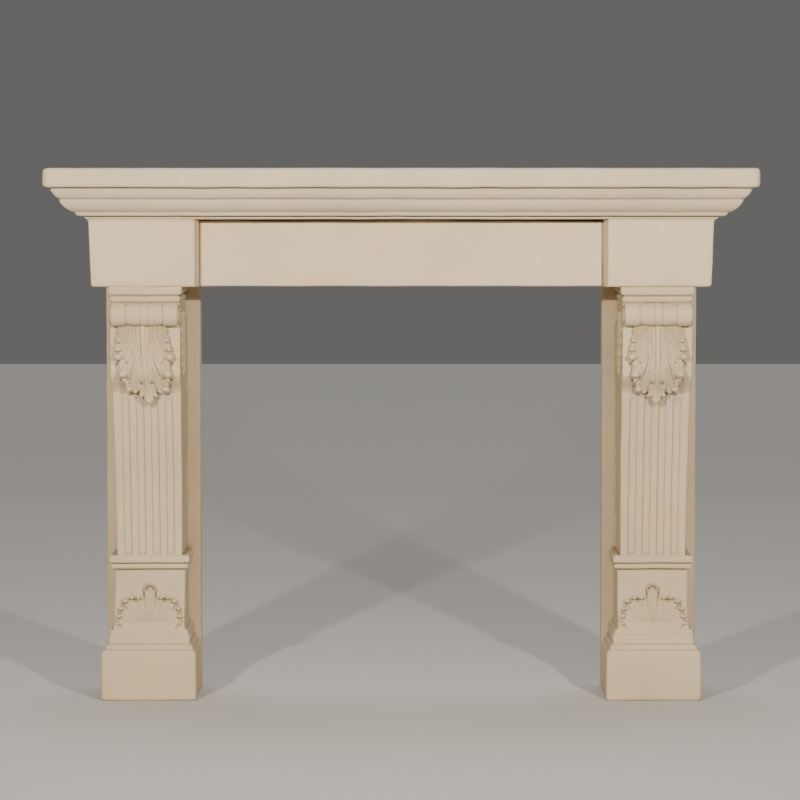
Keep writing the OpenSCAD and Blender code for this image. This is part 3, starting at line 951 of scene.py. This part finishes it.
HOLLOW_SHADE = (0.48, 0.455, 0.42)         # painted shade in the broad hollows, in shares of the stone's colour
CUT_SHADE = (0.17, 0.155, 0.14)         # painted shade in the deep cuts
YELLOWED = (0.97, 0.87, 0.74)      # tint of the stains


def stone(name, colour, seed):
    """Fine pale limestone: cloudy tone, faint stains, fine grain, small pits, lighter sharp edges,
    and painted shade that darkens the hollows and the deep cuts."""
    material = bpy.data.materials.new(name)
    material.use_nodes = True
    nodes, links = material.node_tree.nodes, material.node_tree.links
    shader = nodes["Principled BSDF"]
    shader.inputs["Roughness"].default_value = 0.84
    shader.inputs["Specular IOR Level"].default_value = 0.22

    def node(kind, **inputs):
        made = nodes.new(kind)
        for key, value in inputs.items():
            made.inputs[key.replace("_", " ")].default_value = value
        return made

    where = nodes.new("ShaderNodeTexCoord")
    moved = nodes.new("ShaderNodeMapping")
    moved.inputs["Location"].default_value = (seed * 1.7, seed * 0.9, seed * 2.3)
    links.new(where.outputs["Object"], moved.inputs["Vector"])

    def noise_node(scale, detail, rough=0.55):
        made = node("ShaderNodeTexNoise", Scale=scale, Detail=detail, Roughness=rough)
        links.new(moved.outputs["Vector"], made.inputs["Vector"])
        return made.outputs["Fac"]

    def spread(source, low, high, to_low=0.0, to_high=1.0):
        made = node("ShaderNodeMapRange", From_Min=low, From_Max=high, To_Min=to_low,
                    To_Max=to_high)
        links.new(source, made.inputs["Value"])
        return made.outputs["Result"]

    def mix(factor, a, b):
        made = nodes.new("ShaderNodeMix")
        made.data_type = "RGBA"
        links.new(factor, made.inputs[0])
        for socket, value in ((6, a), (7, b)):
            if isinstance(value, bpy.types.NodeSocket):
                links.new(value, made.inputs[socket])
            else:
                made.inputs[socket].default_value = (*value, 1)
        return made.outputs[2]

    def combine(operation, a, b):
        made = nodes.new("ShaderNodeMath")
        made.operation = operation
        for socket, value in enumerate((a, b)):
            if isinstance(value, bpy.types.NodeSocket):
                links.new(value, made.inputs[socket])
            else:
                made.inputs[socket].default_value = value
        return made.outputs[0]

    def tint(scale):
        return tuple(c * scale for c in colour)

    def tinted(tone):
        return tuple(c * k for c, k in zip(colour, tone))

    warm = tinted(YELLOWED)
    clouds = mix(spread(noise_node(4.5, 5, 0.6), 0.34, 0.66), tint(0.90), tint(1.06))
    stained = mix(spread(noise_node(9.0, 6, 0.62), 0.50, 0.74, 0.0, 0.8), clouds, warm)
    speckled = mix(spread(noise_node(160, 3, 0.7), 0.50, 0.80, 0.0, 0.30), stained, tint(0.80))
    bright = mix(spread(noise_node(90, 2, 0.6), 0.58, 0.82, 0.0, 0.30), speckled, tint(1.12))

    # Painted shade: the hollows and the deep cuts, found by pointiness, are darkened.
    pointed = nodes.new("ShaderNodeNewGeometry").outputs["Pointiness"]
    hollow = spread(pointed, 0.38, 0.492, 0.70, 0.0)
    # Sharp convex edges, found by pointiness, are made lighter.
    edge = spread(pointed, 0.52, 0.60, 0.0, 0.30)
    cut = spread(pointed, 0.37, 0.468, 0.90, 0.0)
    hollow_shaded = mix(hollow, bright, tinted(HOLLOW_SHADE))
    cut_shaded = mix(cut, hollow_shaded, tinted(CUT_SHADE))
    edges_lightened = mix(edge, cut_shaded, tint(1.12))
    links.new(edges_lightened, shader.inputs["Base Color"])

    grain = noise_node(420, 3, 0.7)
    tooled = noise_node(45, 4, 0.6)
    pits = node("ShaderNodeTexVoronoi", Scale=150.0)
    links.new(moved.outputs["Vector"], pits.inputs["Vector"])
    pit = spread(pits.outputs["Distance"], 0.05, 0.22)
    sparse = spread(noise_node(24, 2), 0.50, 0.62)
    pitting = combine("MAXIMUM", pit, combine("SUBTRACT", 1.0, sparse))

    normal = None
    for source, strength, distance in ((grain, 0.35, 0.0006), (tooled, 0.35, 0.0016),
                                       (pitting, 0.5, 0.0009)):
        bump = node("ShaderNodeBump", Strength=strength, Distance=distance)
        links.new(source, bump.inputs["Height"])
        if normal:
            links.new(normal, bump.inputs["Normal"])
        normal = bump.outputs["Normal"]
    links.new(normal, shader.inputs["Normal"])
    return material


# ---- the pieces ----

def finish_piece(obj, node, material):
    shade(obj)
    obj.data.materials.clear()
    obj.data.materials.append(material)
    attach(obj, "root")
    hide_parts(node)


# The jambs' stone is set darker than the shelf's and the frieze's: painted shade for the dimmer
# light on the lower part of the piece.
SHELF_STONE = stone("shelf_stone", (0.614, 0.505, 0.352), 1)
FRIEZE_STONE = stone("frieze_stone", (0.604, 0.491, 0.337), 2)
SHADED_JAMB_STONE = stone("jamb_stone", (0.548, 0.434, 0.284), 3)

finish_piece(build_shelf(), "mantel_shelf", SHELF_STONE)
finish_piece(build_lintel(), "lintel", FRIEZE_STONE)
finish_piece(build_block("frieze_block_right_work", 1, 2), "frieze_block_right",
             FRIEZE_STONE)
finish_piece(build_block("frieze_block_left_work", -1, 3), "frieze_block_left",
             FRIEZE_STONE)
finish_piece(build_jamb("jamb_left_work", -JAMB_X, LEAF_SWAY, 11), "jamb_left",
             SHADED_JAMB_STONE)
finish_piece(build_jamb("jamb_right_work", JAMB_X, 0, 21), "jamb_right", SHADED_JAMB_STONE)

# ---- floor, light and camera ----

WALL = WALL_Y * MM
FLOOR_COLOUR, FLOOR_ROUGH = (0.52, 0.505, 0.485), 0.9
LAMP_POWER, LAMP_COLOUR, LAMP_CONE, LAMP_SIZE = 840, (1.0, 0.94, 0.84), 78, 0.07
FILL_POWER, FILL_COLOUR, FILL_SIZE = 12, (1.0, 0.95, 0.88), 3.0
SKY_POWER, SKY_COLOUR, SKY_SPREAD = 1.3, (1.0, 0.98, 0.95), 50
STUDIO_COLOUR, STUDIO_STRENGTH = (0.79, 0.78, 0.75), 0.17
PHOTO_WIDTH, FOCAL_LENGTH = 800, 3256      # in pixels of the photograph
SENSOR, TIP_DOWN, SHIFT = 36, 3.0, -0.0692


def plain_material(name, colour, roughness):
    material = bpy.data.materials.new(name)
    material.use_nodes = True
    shader = material.node_tree.nodes["Principled BSDF"]
    shader.inputs["Base Color"].default_value = (*colour, 1)
    shader.inputs["Roughness"].default_value = roughness
    return material


def build_floor():
    mesh = bpy.data.meshes.new("floor")
    mesh.from_pydata([(-14, -12, 0), (14, -12, 0), (14, 14, 0), (-14, 14, 0)], [], [(0, 1, 2, 3)])
    floor = bpy.data.objects.new("floor", mesh)
    bpy.context.scene.collection.objects.link(floor)
    mesh.materials.append(plain_material("floor_pale", FLOOR_COLOUR, FLOOR_ROUGH))


def add_light(name, kind, place, target, power, colour, **settings):
    data = bpy.data.lights.new(name, kind)
    data.energy = power
    data.color = colour
    for key, value in settings.items():
        setattr(data, key, value)
    light = bpy.data.objects.new(name, data)
    light.location = place
    light.rotation_euler = (Vector(target) - Vector(place)).to_track_quat("-Z", "Y").to_euler()
    bpy.context.scene.collection.objects.link(light)


def build_lights():
    """Two lamps in front, one to each side, whose light crosses at the piece, a weak broad fill,
    a very soft light from above and behind, and an even grey studio."""
    for side in SIDES:
        add_light(f"lamp_{side}", "SPOT", (side * 1.70, WALL - 4.6, 1.90), (side * 0.2, WALL, 1.45),
                  LAMP_POWER, LAMP_COLOUR, spot_size=math.radians(LAMP_CONE), spot_blend=1.0,
                  shadow_soft_size=LAMP_SIZE)
    add_light("fill", "AREA", (0, WALL - 4.5, 3.2), (0, WALL, 1.1), FILL_POWER, FILL_COLOUR,
              size=FILL_SIZE)
    add_light("sky", "SUN", (0, WALL + 2.6, 6), (0, WALL, 0), SKY_POWER, SKY_COLOUR,
              angle=math.radians(SKY_SPREAD))
    world = bpy.data.worlds.new("studio")
    bpy.context.scene.world = world
    world.use_nodes = True
    background = world.node_tree.nodes["Background"]
    background.inputs["Color"].default_value = (*STUDIO_COLOUR, 1)
    background.inputs["Strength"].default_value = STUDIO_STRENGTH


def build_camera():
    """A long lens, level with the shelf, tipped down to the piece's middle, with the small shift
    that sets the piece's height in the frame."""
    data = bpy.data.cameras.new("camera")
    camera = bpy.data.objects.new("camera", data)
    bpy.context.scene.collection.objects.link(camera)
    bpy.context.scene.camera = camera
    data.sensor_width = SENSOR
    data.lens = SENSOR * FOCAL_LENGTH / PHOTO_WIDTH
    data.shift_y = SHIFT
    data.clip_end = 60
    camera.location = (-0.003, WALL - 8.11, 1.278)
    camera.rotation_euler = (math.radians(90 - TIP_DOWN), 0, 0)


build_floor()
build_lights()
build_camera()
